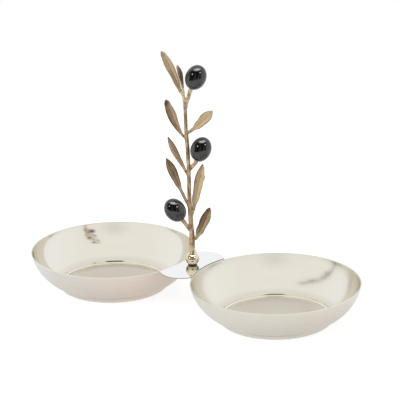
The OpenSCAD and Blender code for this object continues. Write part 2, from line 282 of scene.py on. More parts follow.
def skin(rings, closed=True):
    """Points and faces over rings that all have the same number of points, with or without ends."""
    rings = np.array(rings)
    count, sides, _ = rings.shape
    points = [tuple(p) for p in rings.reshape(-1, 3)]
    faces = []
    for i in range(count - 1):
        for j in range(sides):
            k = (j + 1) % sides
            faces.append((i * sides + j, i * sides + k, (i + 1) * sides + k, (i + 1) * sides + j))
    if not closed:
        return points, faces
    for ring, backwards in ((0, True), (count - 1, False)):
        middle = len(points)
        points.append(tuple(rings[ring].mean(axis=0)))
        for j in range(sides):
            a = ring * sides + j
            b = ring * sides + (j + 1) % sides
            faces.append((b, a, middle) if backwards else (a, b, middle))
    return points, faces


def new_mesh(name, points, faces):
    mesh = bpy.data.meshes.new(name)
    mesh.from_pydata(points, [], faces)
    return mesh


def face_outwards(mesh, weld=0):
    """Join points nearer than weld, turn all faces outwards and shade them smooth."""
    work = bmesh.new()
    work.from_mesh(mesh)
    if weld:
        bmesh.ops.remove_doubles(work, verts=work.verts, dist=weld)
    bmesh.ops.recalc_face_normals(work, faces=work.faces)
    work.to_mesh(mesh)
    work.free()
    mesh.shade_smooth()


def mesh_from_rings(name, rings, closed=True):
    """Smooth mesh over rings of points."""
    mesh = new_mesh(name, *skin(rings, closed))
    face_outwards(mesh, WELD)
    return mesh


def lathe(name, profile, middle, segments):
    """Surface turned about an upright axis from points (radius, height); its ends lie on the axis."""
    turns = full_turn(segments)
    return mesh_from_rings(name, [circle(middle, r, z, turns) for r, z in profile])


def paint(mesh, name, values):
    """Store one number per point for a material to read."""
    layer = mesh.attributes.new(name, "FLOAT", "POINT")
    layer.data.foreach_set("value", np.array(values, np.float32))


def add_piece(mesh, material, node_name):
    """Make a piece of the object, named as its mesh, that stands for one solid of the frame."""
    mesh.materials.append(material)
    piece = bpy.data.objects.new(mesh.name, mesh)
    scene.collection.objects.link(piece)
    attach(piece, BODY)
    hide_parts(node_name)


# Materials

class Nodes:
    """A node tree that is built step by step."""

    def __init__(self, tree):
        self.tree = tree

    def node(self, kind, **settings):
        made = self.tree.nodes.new(kind)
        for key, value in settings.items():
            setattr(made, key, value)
        return made

    def link(self, source, target):
        self.tree.links.new(source, target)

    def vector(self, operation, a, b):
        made = self.node("ShaderNodeVectorMath", operation=operation)
        for socket, value in zip(made.inputs, (a, b)):
            if isinstance(value, (tuple, Vector)):
                socket.default_value = value
            else:
                self.link(value, socket)
        return made.outputs["Value" if operation == "DOT_PRODUCT" else "Vector"]

    def ranged(self, source, low, high, to_low=0, to_high=1):
        made = self.node("ShaderNodeMapRange", clamp=True)
        self.link(source, made.inputs["Value"])
        for key, value in zip(("From Min", "From Max", "To Min", "To Max"), (low, high, to_low, to_high)):
            made.inputs[key].default_value = value
        return made.outputs["Result"]

    def math(self, operation, a, b):
        made = self.node("ShaderNodeMath", operation=operation)
        for socket, value in zip(made.inputs, (a, b)):
            if isinstance(value, (int, float)):
                socket.default_value = value
            else:
                self.link(value, socket)
        return made.outputs[0]

    def blend(self, factor, a, b):
        made = self.node("ShaderNodeMix", data_type="RGBA")
        self.link(factor, made.inputs["Factor"])
        for socket, value in ((made.inputs[6], a), (made.inputs[7], b)):
            if isinstance(value, tuple):
                socket.default_value = (*value, 1)
            else:
                self.link(value, socket)
        return made.outputs[2]

    def noise(self, vector, scale):
        made = self.node("ShaderNodeTexNoise", noise_dimensions="3D")
        self.link(vector, made.inputs["Vector"])
        for key, value in (("Scale", scale), ("Detail", 3), ("Roughness", 0.55)):
            made.inputs[key].default_value = value
        return made.outputs["Fac"]

    def stretched(self, source, scale):
        made = self.node("ShaderNodeMapping")
        self.link(source, made.inputs["Vector"])
        made.inputs["Scale"].default_value = scale
        return made.outputs["Vector"]

    def stored(self, name):
        return self.node("ShaderNodeAttribute", attribute_name=name).outputs["Fac"]

    def coordinates(self, kind="Object"):
        return self.node("ShaderNodeTexCoord").outputs[kind]

    def split(self, vector):
        made = self.node("ShaderNodeSeparateXYZ")
        self.link(vector, made.inputs["Vector"])
        return made.outputs


class Shader(Nodes):
    """A node material around one main shader."""

    def __init__(self, name):
        self.material = bpy.data.materials.new(name)
        self.material.use_nodes = True
        super().__init__(self.material.node_tree)
        self.main = self.tree.nodes["Principled BSDF"]

    def socket(self, key):
        return self.main.inputs[key.replace("_", " ").title().replace("Ior", "IOR")]

    def set(self, **values):
        for key, value in values.items():
            self.socket(key).default_value = (*value, 1) if isinstance(value, tuple) else value

    def feed(self, **sources):
        for key, source in sources.items():
            self.link(source, self.socket(key))

    def bump(self, height, strength, distance):
        made = self.node("ShaderNodeBump")
        made.inputs["Strength"].default_value = strength
        made.inputs["Distance"].default_value = distance
        self.link(height, made.inputs["Height"])
        self.feed(normal=made.outputs["Normal"])


# Satin steel: tones inside and outside; a pair is for the clouds inside, or the left and right bowl outside
STEEL_INSIDE = ((0.78, 0.745, 0.65), (0.82, 0.785, 0.693))
# Painted reflections inside: a pale zone and a darker band towards each side
STEEL_PALE_REFLECTION = (0.82, 0.805, 0.738)
STEEL_DARK_REFLECTION = (0.735, 0.705, 0.635)
STEEL_BOTTOM = (0.79, 0.77, 0.735)
STEEL_OUTSIDE = ((0.72, 0.705, 0.66), (0.765, 0.745, 0.675))
# Painted reflection outside: a warm flank
STEEL_WARM_REFLECTION = (0.82, 0.71, 0.62)
STEEL_WORN = (0.62, 0.58, 0.52)
# Where these tones begin and end, across a bowl as shares of its width, and in height
PALE_REFLECTION_START = (0.2, 0.36)
PALE_REFLECTION_END = (0.40, 0.47)
DARK_REFLECTION_START = (0.42, 0.48)
WARM_REFLECTION_START = (-0.42, 0.15)
BOTTOM_TOP = (FLOOR_Z + 0.05 * MM, FLOOR_Z + 0.15 * MM)
# The two bowls lie on either side of this stretch; the right one has less painted warm reflection outside
# and is duller inside
BOWLS_PART = (-5 * MM, 5 * MM)
RIGHT_WARM_REFLECTION = 0.35
RIGHT_DULLNESS = 0.075
# Rings of brushing: range of their noise, roughness outside and inside, range and depth of wear
RING_RUN = 4
RING_SCALE = 130
RING_DETAIL = 4
BRUSHED_RANGE = (0.3, 0.7)
DULL_RANGE = (0.2, 0.38)
SHINE_RANGE = (0.09, 0.15)
WORN_RANGE = (0.35, 0.65)
WORN_DEPTH = 0.12

# Tones of the other materials; pairs are blended by noise
MIRROR_TONES = ((0.85, 0.86, 0.88), (0.89, 0.895, 0.91))
# Painted shade on the plate's edge
MIRROR_EDGE_SHADE = (0.2, 0.2, 0.18)
BRASS_TONES = ((0.75, 0.64, 0.42), (0.87, 0.77, 0.55))
BRASS_SHADE_AND_TARNISH = (0.08, 0.05, 0.03)
ZINC_TONES = ((0.56, 0.57, 0.59), (0.70, 0.71, 0.72))
STEM_LOWER_TONES = ((0.235, 0.145, 0.074), (0.70, 0.51, 0.32))
STEM_UPPER_TONES = ((0.20, 0.15, 0.08), (0.72, 0.585, 0.40))
LEAF_TONES = ((0.14, 0.096, 0.057), (0.80, 0.60, 0.378))
ENAMEL_TONES = ((0.004, 0.004, 0.0045), (0.008, 0.008, 0.009))
# Heights over which the stem's upper tones take over
STEM_UPPER_START = (0.13, 0.16)


def spun_rings(s, centred):
    """Noise in fine rings round the axis of a bowl."""
    x, y, z = s.split(centred)
    squares = s.math("ADD", s.math("POWER", x, 2), s.math("POWER", y, 2))
    run = s.math("MULTIPLY", s.math("SQRT", squares, 0), RING_RUN)
    rings = s.node("ShaderNodeTexNoise", noise_dimensions="1D")
    s.link(s.math("ADD", run, z), rings.inputs["W"])
    rings.inputs["Scale"].default_value = RING_SCALE
    rings.inputs["Detail"].default_value = RING_DETAIL
    return rings.outputs["Fac"]


def satin_steel():
    """Spun steel: fine rings of brushing stretch each reflection away from the axis; painted reflections
    too.
    """
    s = Shader("satin_steel")
    around = s.coordinates("Generated")
    centred = s.vector("SUBTRACT", around, (0.5, 0.5, 0))
    place = s.split(s.coordinates())
    brushed = spun_rings(s, centred)
    inward = s.stored("inside")
    right_bowl = s.ranged(place["X"], *BOWLS_PART)
    sideways = s.vector("DOT_PRODUCT", centred, VIEW_RIGHT)
    off_middle = s.math("ABSOLUTE", sideways, 0)
    inside = s.blend(s.noise(around, 5), *STEEL_INSIDE)
    # Painted reflections: pale zones and darker bands towards the sides inside, a warm flank outside
    pale = s.math("MULTIPLY", s.ranged(off_middle, *PALE_REFLECTION_START), s.ranged(off_middle, *PALE_REFLECTION_END, 1, 0))
    inside = s.blend(pale, inside, STEEL_PALE_REFLECTION)
    inside = s.blend(s.ranged(off_middle, *DARK_REFLECTION_START), inside, STEEL_DARK_REFLECTION)
    inside = s.blend(s.ranged(place["Z"], *BOTTOM_TOP, 1, 0), inside, STEEL_BOTTOM)
    right_warmth = s.ranged(right_bowl, 0, 1, 1, RIGHT_WARM_REFLECTION)
    warm = s.math("MULTIPLY", s.ranged(sideways, *WARM_REFLECTION_START), right_warmth)
    outside = s.blend(warm, s.blend(right_bowl, *STEEL_OUTSIDE), STEEL_WARM_REFLECTION)
    # The stored shade multiplies painted light and shade into the colour
    tone = s.vector("MULTIPLY", s.blend(inward, outside, inside), s.stored("shade"))
    worn = s.ranged(brushed, *WORN_RANGE, 0, WORN_DEPTH)
    dull = s.ranged(brushed, *BRUSHED_RANGE, *DULL_RANGE)
    shine = s.ranged(brushed, *BRUSHED_RANGE, *SHINE_RANGE)
    shine = s.math("ADD", shine, s.ranged(right_bowl, 0, 1, 0, RIGHT_DULLNESS))
    gain = s.math("MULTIPLY", inward, s.math("SUBTRACT", shine, dull))
    s.feed(base_color=s.blend(worn, tone, STEEL_WORN), roughness=s.math("ADD", dull, gain))
    s.bump(brushed, strength=0.05, distance=0.02 * MM)
    s.set(metallic=1.0, anisotropic=0.4, anisotropic_rotation=0.25)
    rim_line = s.node("ShaderNodeTangent", direction_type="RADIAL", axis="Z")
    s.feed(tangent=rim_line.outputs["Tangent"])
    return s.material


def mirror_steel():
    """Mirror polish with faint wipe marks and painted shade on its edge."""
    s = Shader("mirror_steel")
    wiped = s.noise(s.stretched(s.coordinates(), (90, 30, 90)), scale=3)
    s.feed(base_color=s.blend(s.stored("edge"), s.blend(wiped, *MIRROR_TONES), MIRROR_EDGE_SHADE))
    s.set(metallic=1.0, roughness=0.03)
    return s.material


def polished_brass():
    """Polished brass, slightly cloudy, with painted shade low down and tarnish with painted shade at its
    neck.
    """
    s = Shader("polished_brass")
    cloudy = s.noise(s.coordinates(), scale=400)
    s.feed(base_color=s.blend(s.stored("shade_and_tarnish"), s.blend(cloudy, *BRASS_TONES), BRASS_SHADE_AND_TARNISH))
    s.set(metallic=0.8, roughness=0.0, specular_ior_level=0.0)
    return s.material


def zinc_steel():
    """Zinc plating, slightly mottled."""
    s = Shader("zinc_steel")
    mottled = s.noise(s.coordinates(), scale=900)
    s.feed(base_color=s.blend(mottled, *ZINC_TONES), roughness=s.ranged(mottled, 0.3, 0.7, 0.3, 0.45))
    s.set(metallic=1.0)
    return s.material


def stem_bronze():
    """Antique brass, brushed along the stem, lighter or darker along its height, with painted shade on its
    right.
    """
    s = Shader("stem_bronze")
    place = s.coordinates()
    streaks = s.noise(s.stretched(place, (1, 1, 0.16)), scale=800)
    patches = s.math("MULTIPLY", s.noise(place, scale=260), 0.8)
    # The stored lightness holds painted shade on the stem's right side
    uneven = s.math("ADD", s.math("ADD", streaks, patches), s.stored("lightness_and_shade"))
    worn = s.ranged(uneven, 0.70, 1.12)
    upper = s.ranged(s.split(place)["Z"], *STEM_UPPER_START)
    dark, light = [s.blend(upper, *tones) for tones in zip(STEM_LOWER_TONES, STEM_UPPER_TONES)]
    s.feed(base_color=s.blend(worn, dark, light), roughness=s.ranged(worn, 0, 1, 0.5, 0.34))
    s.bump(streaks, strength=0.5, distance=0.15 * MM)
    s.set(metallic=0.4, specular_ior_level=0.0)
    return s.material


def leaf_bronze():
    """Antique brass with a brushed grain along each leaf; painted shade in the groove and along the edges.
    """
    s = Shader("leaf_bronze")
    along = s.node("ShaderNodeUVMap", uv_map="grain").outputs["UV"]
    grain = s.noise(s.stretched(along, (70, 4, 1)), scale=1)
    streaks = s.math("MULTIPLY", s.noise(s.stretched(along, (3.5, 1.6, 1)), scale=1), 0.8)
    patches = s.math("MULTIPLY", s.noise(s.coordinates(), scale=220), 0.4)
    uneven = s.math("ADD", streaks, patches)
    tone = s.ranged(s.math("ADD", s.stored("painted_leaf_light"), uneven), 0.6, 1.6)
    s.feed(base_color=s.blend(tone, *LEAF_TONES), roughness=s.ranged(tone, 0, 1, 0.5, 0.32))
    s.bump(grain, strength=0.3, distance=0.1 * MM)
    s.set(metallic=0.4, specular_ior_level=0.0)
    return s.material


def black_enamel():
    """Glossy black enamel with a faint orange peel."""
    s = Shader("black_enamel")
    peel = s.noise(s.coordinates(), scale=700)
    s.feed(base_color=s.blend(peel, *ENAMEL_TONES))
    s.bump(peel, strength=0.04, distance=0.03 * MM)
    s.set(ior=1.72, roughness=0.0)
    return s.material


STEEL = satin_steel()
MIRROR = mirror_steel()
BRASS = polished_brass()
ZINC = zinc_steel()
BRONZE = stem_bronze()
LEAF = leaf_bronze()
ENAMEL = black_enamel()


# Bowls

def bowl_profile(rim_r, bowl_h):
    """Section of a bowl from the middle of its underside, over the rim, to the middle of its inside, and
    the zone of each point: nothing outside, half on the rim and one inside."""
    run = rim_r - FOOT_R
    rise = bowl_h - FOOT_H
    chord = math.hypot(run, rise)
    off = math.sqrt(WALL_ARC_R ** 2 - chord ** 2 / 4)
    mid = ((FOOT_R + rim_r) / 2 - off * rise / chord, (FOOT_H + bowl_h) / 2 + off * run / chord)
    inner_r = WALL_ARC_R - WALL_T
    lip_z = bowl_h - LIP_EDGE

    def turn_at(radius, z):
        return math.degrees(math.asin((z - mid[1]) / radius))

    def point_at(radius, z):
        return arc(mid, radius, turn_at(radius, z), 0, 1)[0]

    recess_r = FOOT_R - FOOT_W
    recess_h = FLOOR_Z - FLOOR_T
    e = FOOT_EDGE
    outside = [(0, recess_h), (recess_r / 2, recess_h), (recess_r - 2 * e, recess_h)]
    outside += bend((recess_r - e, recess_h), (recess_r, recess_h), (recess_r, recess_h - e), 4)
    outside += bend((recess_r, e), (recess_r, 0), (recess_r + e, 0), 4)
    outside += bend((FOOT_R - FOOT_ROUND, 0), (FOOT_R, 0), (FOOT_R, FOOT_ROUND), 6)
    foot_angle = math.degrees(math.atan2(FOOT_H - mid[1], FOOT_R - mid[0]))
    bend_angle = foot_angle + math.degrees(FOOT_BEND / WALL_ARC_R)
    wall = arc(mid, WALL_ARC_R, bend_angle, turn_at(WALL_ARC_R, lip_z), WALL_STEPS)
    outside += bend((FOOT_R, FOOT_H - FOOT_BEND), (FOOT_R, FOOT_H), wall[0], 5)
    outside += wall[1:-1]

    rim_in = point_at(inner_r, bowl_h)[0]
    e = LIP_EDGE
    rim = bend(point_at(WALL_ARC_R, lip_z), (rim_r, bowl_h), (rim_r - e, bowl_h), 5)
    rim += bend((rim_in + e, bowl_h), (rim_in, bowl_h), point_at(inner_r, lip_z), 5)

    step_z = FLOOR_Z + STEP_H
    step_r = point_at(inner_r, step_z)[0]
    edge_r = step_r - STEP_EDGE
    edge_z = step_z - STEP_EDGE
    foot_r = edge_r + STEP_OVERHANG
    foot_z = FLOOR_Z + STEP_FOOT_H
    bottom_r = foot_r - STEP_FOOT_W
    inside = arc(mid, inner_r, turn_at(inner_r, lip_z), turn_at(inner_r, step_z), WALL_STEPS)[1:]
    inside += bend((step_r, step_z), (edge_r, step_z - STEP_DIP), (edge_r, edge_z), 4)[1:]
    inside += [(edge_r, edge_z - CREASE), (foot_r, foot_z + CREASE), (foot_r, foot_z)]
    inside += [(bottom_r + CREASE, FLOOR_Z + CREASE_RISE), (bottom_r, FLOOR_Z)]
    inside += [(bottom_r * share, FLOOR_Z) for share in BOTTOM_RINGS]
    zones = [0] * len(outside) + [0.5] * len(rim) + [1] * len(inside)
    return outside + rim + inside, zones


def bowl_painted_shade(z, r):
    """Painted shade and light inside: dimmer at the wall's foot, brighter on the step, and lighter at the
    edge of the bottom than in its middle."""
    above = z - FLOOR_Z - STEP_H
    if above > -LEVEL:
        return 1 - WALL_PAINTED_SHADE * max(0, 1 - above / WALL_PAINTED_SHADE_REACH)
    if z > FLOOR_Z + STEP_FOOT_H + LEVEL:
        return STEP_PAINTED_LIGHT
    if z > FLOOR_Z + LEVEL:
        return STEP_FOOT_PAINTED_LIGHT
    return BOTTOM_PAINTED_SHADE + BOTTOM_PAINTED_LIGHT * max(0, (r / FOOT_R - BOTTOM_PAINTED_LIGHT_FROM) / (1 - BOTTOM_PAINTED_LIGHT_FROM))


def make_bowl(node_name):
    low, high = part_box(node_name)
    middle = ((low.x + high.x) / 2, (low.y + high.y) / 2)
    profile, zones = bowl_profile((high.y - low.y) / 2, high.z)
    mesh = lathe(node_name + "_spun", profile, middle, BOWL_SEGMENTS)
    zone_at = {}
    for (r, z), zone in zip(profile, zones):
        zone_at[(round(r / MM, 3), round(z / MM, 3))] = zone
    insides = []
    painted_shades = []
    for vertex in mesh.vertices:
        z = vertex.co.z
        r = math.hypot(vertex.co.x - middle[0], vertex.co.y - middle[1])
        zone = zone_at.get((round(r / MM, 3), round(z / MM, 3)), 1)
        insides.append(zone)
        # Painted light and shade inside, and painted light on the foot outside
        if zone == 1:
            painted_shades.append(bowl_painted_shade(z, r))
        else:
            painted_shades.append(FOOT_PAINTED_LIGHT if z < FOOT_PAINTED_LIGHT_TOP else 1)
    paint(mesh, "inside", insides)
    paint(mesh, "shade", painted_shades)
    mesh.set_sharp_from_angle(angle=SHARP_TURN)
    add_piece(mesh, STEEL, node_name)


make_bowl("left_bowl")
make_bowl("right_bowl")


# Connecting plate

def plate_outline():
    """Outline of the plate about its middle: round ends, tight corners and hollow sides."""
    end_r = PLATE_WAIST / 2 + PLATE_FLARE
    end_mid = (0, PLATE_L / 2 - end_r)
    side_mid = (PLATE_WAIST / 2 + PLATE_SIDE_R, 0)
    corner = circles_meet(end_mid, end_r - PLATE_CORNER_R, side_mid, PLATE_SIDE_R + PLATE_CORNER_R)
    side_angle = math.degrees(math.atan2(corner[1], corner[0] - side_mid[0]))
    end_angle = math.degrees(math.atan2(corner[1] - end_mid[1], corner[0]))
    quarter = arc(side_mid, PLATE_SIDE_R, 180, side_angle, 16)
    quarter += arc(corner, PLATE_CORNER_R, side_angle - 180, end_angle, 10)[1:]
    quarter += arc(end_mid, end_r, end_angle, 90, 20)[1:]
    right = [(x, -y) for x, y in quarter[:0:-1]] + quarter
    left = [(-x, y) for x, y in right[-2:0:-1]]
    return np.array(right + left)


def make_plate():
    low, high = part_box("connecting_plate")
    outline = plate_outline()
    ahead = np.roll(outline, -1, axis=0) - np.roll(outline, 1, axis=0)
    outward = np.stack([ahead[:, 1], -ahead[:, 0]], axis=1)
    outward /= np.linalg.norm(outward, axis=1)[:, None]
    hole = outline / np.linalg.norm(outline, axis=1)[:, None] * PLATE_HOLE_R

    def level(flat, z):
        return [(x, y, z) for x, y in flat]

    e = PLATE_EDGE
    soft = 0.3 * e
    steps = ((2 * e, 0), (e, 0), (soft, soft), (0, e))
    rings = [level(hole, low.z)]
    rings += [level(outline - outward * inset, low.z + rise) for inset, rise in steps]
    rings += [level(outline - outward * inset, high.z - rise) for inset, rise in reversed(steps)]
    rings += [level(hole, high.z), rings[0]]
    mesh = mesh_from_rings("plate_polished", rings, closed=False)
    middle_z = (low.z + high.z) / 2
    edge_half = (high.z - low.z) / 2 - 0.5 * e
    # Painted shade along the plate's edge
    paint(mesh, "edge", [1 if abs(v.co.z - middle_z) < edge_half else 0 for v in mesh.vertices])
    mesh.set_sharp_from_angle(angle=PLATE_SHARP_TURN)
    add_piece(mesh, MIRROR, "connecting_plate")


make_plate()


# Base ball

# Brass drawn up beside the stem's foot: its foot in shares of the ball's radius, and its rounded end
COLLAR_RISE = 5.4 * MM
COLLAR_LEAN = 1.5 * MM
COLLAR_AHEAD = 0.7 * MM
COLLAR_FOOT_Z = 0.72
COLLAR_FOOT_R = 0.69
COLLAR_END_R = 1.0 * MM
COLLAR_ROUND_FROM = 0.8
COLLAR_ROUND = 0.041
# Painted shade on the ball below its middle and on its lower flanks, tarnish and shade at its neck; places
# are shares of its radius
FADE_FROM = -0.3
LOWER_SHADE = 0.55
FLANK_FROM = 0.4
FLANK_TO = 0.8
FLANK_TOP = 0.2
FLANK_DROP = 0.6
FLANK_SHADE = 0.95
NECK_RISE = 0.2 * MM


def ball_collar(mid_z, ball_r):
    """Brass drawn up from the ball beside the stem's foot, on its right."""
    rings = []
    turns = full_turn(48)
    side = np.array((math.cos(VIEW_TURN), math.sin(VIEW_TURN)))
    ahead = np.array((math.sin(VIEW_TURN), -math.cos(VIEW_TURN)))
    for t in np.linspace(0, 1, 18):
        z = mid_z + ball_r * COLLAR_FOOT_Z + t * COLLAR_RISE
        rounding = math.sqrt(1 - max(0, t - COLLAR_ROUND_FROM) ** 2 / COLLAR_ROUND)
        radius = mix(ball_r * COLLAR_FOOT_R, COLLAR_END_R, t) * rounding
        middle = (side * COLLAR_LEAN + ahead * COLLAR_AHEAD) * t
        rings.append(circle(middle, radius, z, turns))
    return mesh_from_rings("collar", rings)


def ball_shade_and_tarnish(point, mid_z, neck_z, ball_r):
    """Painted shade and tarnish of the ball at a point."""
    if point.z < neck_z + NECK_RISE:
        return 1
    fade_z = mid_z + FADE_FROM * ball_r
    fade = LOWER_SHADE * (fade_z - point.z) / (fade_z - neck_z)
    aside = clamp((abs(point.dot(VIEW_RIGHT)) / ball_r - FLANK_FROM) / (FLANK_TO - FLANK_FROM))
    drop = clamp((FLANK_TOP + (mid_z - point.z) / ball_r) / FLANK_DROP)
    return max(0, fade, FLANK_SHADE * aside * drop)


def make_ball():
    low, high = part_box("base_ball")
    foot = low.z
    ball_r = BALL_D / 2
    mid = (0, high.z + BALL_FLAT - ball_r)
    foot_r = BALL_FOOT_D / 2
    e = BALL_EDGE
    neck_z = foot + BALL_FOOT_H
    lower = -math.degrees(math.asin((mid[1] - neck_z) / ball_r))
    upper = math.degrees(math.asin(1 - BALL_FLAT / ball_r))
    profile = [(0, foot), (foot_r - 2 * e, foot)]
    profile += bend((foot_r - e, foot), (foot_r, foot), (foot_r, foot + e), 3)
    profile += bend((foot_r, neck_z - e), (foot_r, neck_z), (foot_r - e, neck_z), 3)
    profile += arc(mid, ball_r, lower, upper, 60)
    profile.append((0, high.z))
    mesh = lathe("ball_turned", profile, (0, 0), ROUND_SEGMENTS)
    work = bmesh.new()
    work.from_mesh(mesh)
    work.from_mesh(ball_collar(mid[1], ball_r))
    work.to_mesh(mesh)
    work.free()
    # Painted shade on the lower half and flanks, tarnish and painted shade at the neck
    paint(mesh, "shade_and_tarnish", [ball_shade_and_tarnish(v.co, mid[1], neck_z, ball_r) for v in mesh.vertices])
    mesh.set_sharp_from_angle(angle=SHARP_TURN)
    add_piece(mesh, BRASS, "base_ball")


make_ball()

# The fastener under the plate keeps its solids
for fastener in ("fixing_screw", "flat_washer", "lock_washer"):
    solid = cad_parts[fastener]
    solid.data.materials.clear()
    solid.data.materials.append(ZINC)


# Branch

STEM_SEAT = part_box("branch_stem")[0].z + STEM_PEG_L
BRANCH = Matrix.Translation((0, 0, STEM_SEAT)) @ Matrix.Rotation(BRANCH_TURN, 4, "Z")
# Thicker foot of the stem: shift to the right, height, depth below the seat, girth and its loss to the top
ROOT_SHIFT = 0.5 * MM
ROOT_H = 5 * MM
ROOT_DEPTH = 0.8 * MM
ROOT_GIRTH = 1.18
ROOT_TAPER = 0.2
# Stubs flare towards the stem; those of the olives are thicker than the stalks, at their feet and ends
STUB_FLARE = 0.35
STUB_FLARE_REACH = 0.6
OLIVE_STUB_GIRTH = (1.1, 1.2)
# Painted shade: how much darker the stem is on its right
RIGHT_PAINTED_SHADE = 0.06
# Castings: grid of the skin, rounds of smoothing, depth of the uneven surface and its scale
STEM_CAST = (0.25 * MM, 8, 0.22 * MM, (420, 420, 110))
STALK_CAST = (0.18 * MM, 4, 0.12 * MM, (700, 700, 300))


def stem_mid(s):
    return STEM_H * np.array((lookup(s, STEM_SWAY), lookup(s, STEM_DEPTH), s))


def stem_r(s):
    return STEM_D / 2 * lookup(s, STEM_GIRTH)


def tube_rings(points, radii, sides):
    """Rings square to a line of points."""
    points = np.array(points)
    turns = full_turn(sides)
    rings = []
    for i, radius in enumerate(radii):
        ahead = unit(points[min(i + 1, len(points) - 1)] - points[max(i - 1, 0)])
        across = unit(np.cross(ahead, (0.0, 1.0, 0.0)))
        up = np.cross(across, ahead)
        rings.append([points[i] + radius * (math.cos(a) * across + math.sin(a) * up) for a in turns])
    return rings


def tube(name, points, radii, sides):
    return mesh_from_rings(name, tube_rings(points, radii, sides))


def fused(name, parts, grid, rounds):
    """One cast skin around several overlapping parts, with soft inner corners."""
    work = bmesh.new()
    for part in parts:
        work.from_mesh(part)
        bpy.data.meshes.remove(part)
    raw = bpy.data.meshes.new(name + "_raw")
    work.to_mesh(raw)
    work.free()
    holder = bpy.data.objects.new(name + "_raw", raw)
    scene.collection.objects.link(holder)
    remesh = holder.modifiers.new("skin", "REMESH")
    remesh.mode = "VOXEL"
    remesh.voxel_size = grid
    soften = holder.modifiers.new("soften", "SMOOTH")
    soften.factor = 0.5
    soften.iterations = rounds
    ready = holder.evaluated_get(bpy.context.evaluated_depsgraph_get())
    mesh = bpy.data.meshes.new_from_object(ready)
    mesh.name = name
    bpy.data.objects.remove(holder)
    bpy.data.meshes.remove(raw)
    return mesh


def roughen(mesh, depth, scale):
    """Push points in and out along their normals, as a casting's surface does; scale is lumps a metre."""
    normals = [v.normal.copy() for v in mesh.vertices]
    for vertex, normal in zip(mesh.vertices, normals):
        place = Vector((vertex.co.x * scale[0], vertex.co.y * scale[1], vertex.co.z * scale[2]))
        vertex.co += normal * depth * noise.fractal(place, 1.0, 2.0, 3)
    mesh.update()


def cast(name, parts, grid, rounds, depth, scale):
    """Casting with an uneven surface around several parts, in its place on the branch."""
    mesh = fused(name, parts, grid, rounds)
    roughen(mesh, depth, scale)
    mesh.transform(BRANCH)
    mesh.shade_smooth()
    return mesh


def stub_tubes():
    """Short side arms of the stem that carry leaves and olives."""
    stubs = []
    for angles, shares, looks in zip(LEAF_ANGLES, LEAF_SHARES, LEAF_LOOKS):
        full = 1 + BASE_SWELL * looks[0]
        stubs.append((angles, shares, full * STUB_D / 2, full * PETIOLE_D / 2))
    for angles, shares in zip(OLIVE_ANGLES, OLIVE_SHARES):
        foot_r, end_r = [STALK_D / 2 * girth for girth in OLIVE_STUB_GIRTH]
        stubs.append((angles, shares, foot_r, end_r))
    tubes = []
    for (turn, lean, *_), (place, share, *_), foot_r, end_r in stubs:
        foot = stem_mid(place)
        length = STUB_L * share
        steps = np.linspace(0, 1, 8)
        line = [foot + aim(turn, lean) * length * t for t in steps]
        flares = [1 + STUB_FLARE * max(0, 1 - t / STUB_FLARE_REACH) ** 2 for t in steps]
        girths = [mix(foot_r, end_r, t) * flare for t, flare in zip(steps, flares)]
        tubes.append(tube("stub", line, girths, 20))
    return tubes


def make_stem():
    steps = np.linspace(0, 1, 60)
    parts = [tube("stem", [stem_mid(s) for s in steps], [stem_r(s) for s in steps], 24)]
    parts += stub_tubes()
    steps = np.linspace(0, 1, 6)
    root_line = [np.array((ROOT_SHIFT * (1 - t), 0, ROOT_H * t - ROOT_DEPTH)) for t in steps]
    root_girths = [STEM_D / 2 * (ROOT_GIRTH - ROOT_TAPER * t) for t in steps]
    parts.append(tube("root", root_line, root_girths, 24))
    mesh = cast("stem_cast", parts, *STEM_CAST)
    lightness_and_shade = []
    for vertex in mesh.vertices:
        by_height = lookup((vertex.co.z - STEM_SEAT) / STEM_H, STEM_LIGHTNESS)
        # Lighter or darker along the height, and painted shade on the right side
        lightness_and_shade.append(by_height - RIGHT_PAINTED_SHADE * vertex.normal.dot(VIEW_RIGHT))
    paint(mesh, "lightness_and_shade", lightness_and_shade)
    add_piece(mesh, BRONZE, "branch_stem")


make_stem()


# Leaves

LEAF_RINGS = 64
# Places across a blade, from edge to edge
ACROSS = (1, 0.96, 0.88, 0.74, 0.56, 0.36, 0.2, 0.1, 0, -0.1, -0.2, -0.36, -0.56, -0.74, -0.88, -0.96, -1)
# Middle groove: half width, depth, loss towards the tip, and its depth on the back
RIB_W = 0.17
RIB_DEPTH = 0.22 * MM
RIB_FADE = 0.6
RIB_BACK = 1.2
VEIN_STEP = 2.6 * MM
VEIN_SLANT = 1.1
VEIN_DEPTH = 0.05 * MM
VEIN_POWER = 6
# Painted shade: how much darker the groove, the veins and the edges are, and where the tip's own shade
# starts
RIB_DARK = 0.42
VEIN_DARK = 0.06
EDGE_DARK = 0.6
EDGE_POWER = 6
TIP_DARK_FROM = 0.82
TIP_DARK_L = 0.18
# Swelling of a full base and of a blunt tip: gain, place along the blade and reach
BASE_GAIN = 0.27
BASE_PLACE = (0.18, 0.14)
BLUNT_GAIN = 0.26
BLUNT_PLACE = (0.95, 0.07)
# Rounding of the tip: start, length, strength for a pointed and a blunt leaf, and least share that is left
TIP_FROM = 0.9
TIP_L = 0.1
TIP_ROUND = (0.3, 0.98)
TIP_LEAST = 0.01
# The fold is soft in the middle; section powers of a blade and of a petiole
FOLD_SOFT = 0.02
FOLD_DROP = 0.14
SECTION_POWERS = (10, 2)
# A leaf turns from its stub's lean to its own this many times faster than it grows
LEAF_SETTLE = 8
# Waves of the edges; one leaf has a deep wave on its right
EDGE_WAVE = 0.03
WAVY_LEAF = 6
WAVY_DEPTH = 0.14


